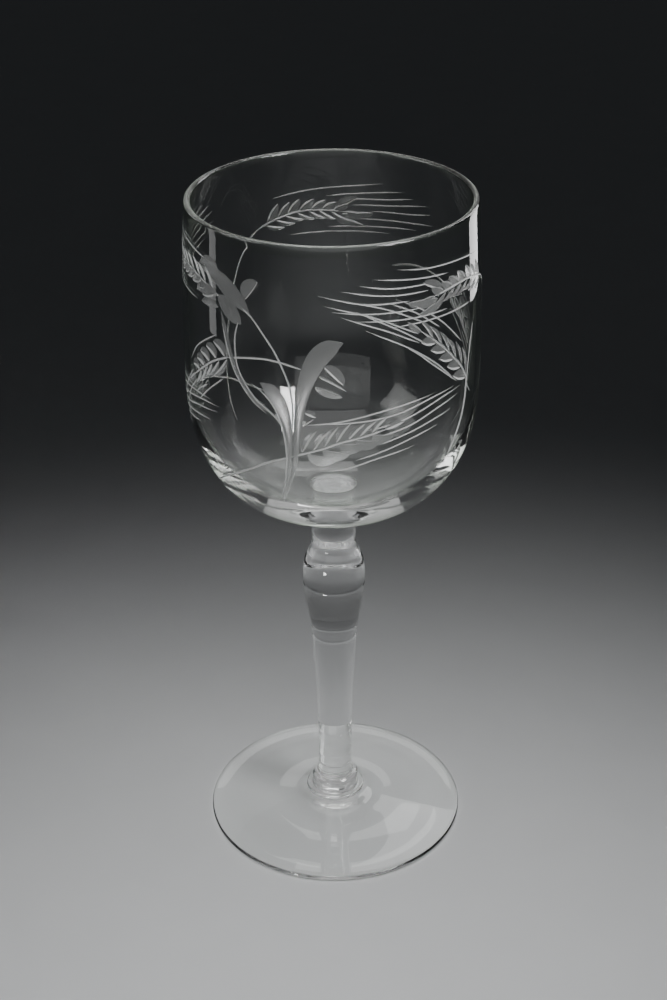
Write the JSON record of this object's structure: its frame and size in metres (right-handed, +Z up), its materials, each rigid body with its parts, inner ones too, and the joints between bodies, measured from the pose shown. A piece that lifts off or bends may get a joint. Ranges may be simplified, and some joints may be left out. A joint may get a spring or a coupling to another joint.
{
  "type": "wine glass",
  "caption": "Stemmed glass goblet with a deep cut-engraved bowl, a baluster stem with a knop, a small joining wafer and a round foot, for drinking wine.",
  "frame": {"origin": "on the surface the glass stands on, under the middle of the foot", "axes": "+Z up along the axis of the glass, from the foot to the rim; +Y from the front to the back of the engraving; +X to its right seen from the front"},
  "size_m": [0.0688, 0.0688, 0.17],
  "materials": {
    "bowl_glass": "clear polished blown glass, with ground grey-cut engraving on the outside",
    "stem_glass": "clear fire-polished drawn glass",
    "wafer_glass": "clear fire-polished glass",
    "foot_glass": "clear fire-polished spun glass"
  },
  "bodies": {
    "root": {"bowl": "bowl_glass", "stem": "stem_glass", "wafer": "wafer_glass", "foot": "foot_glass"}
  },
  "joints": []
}
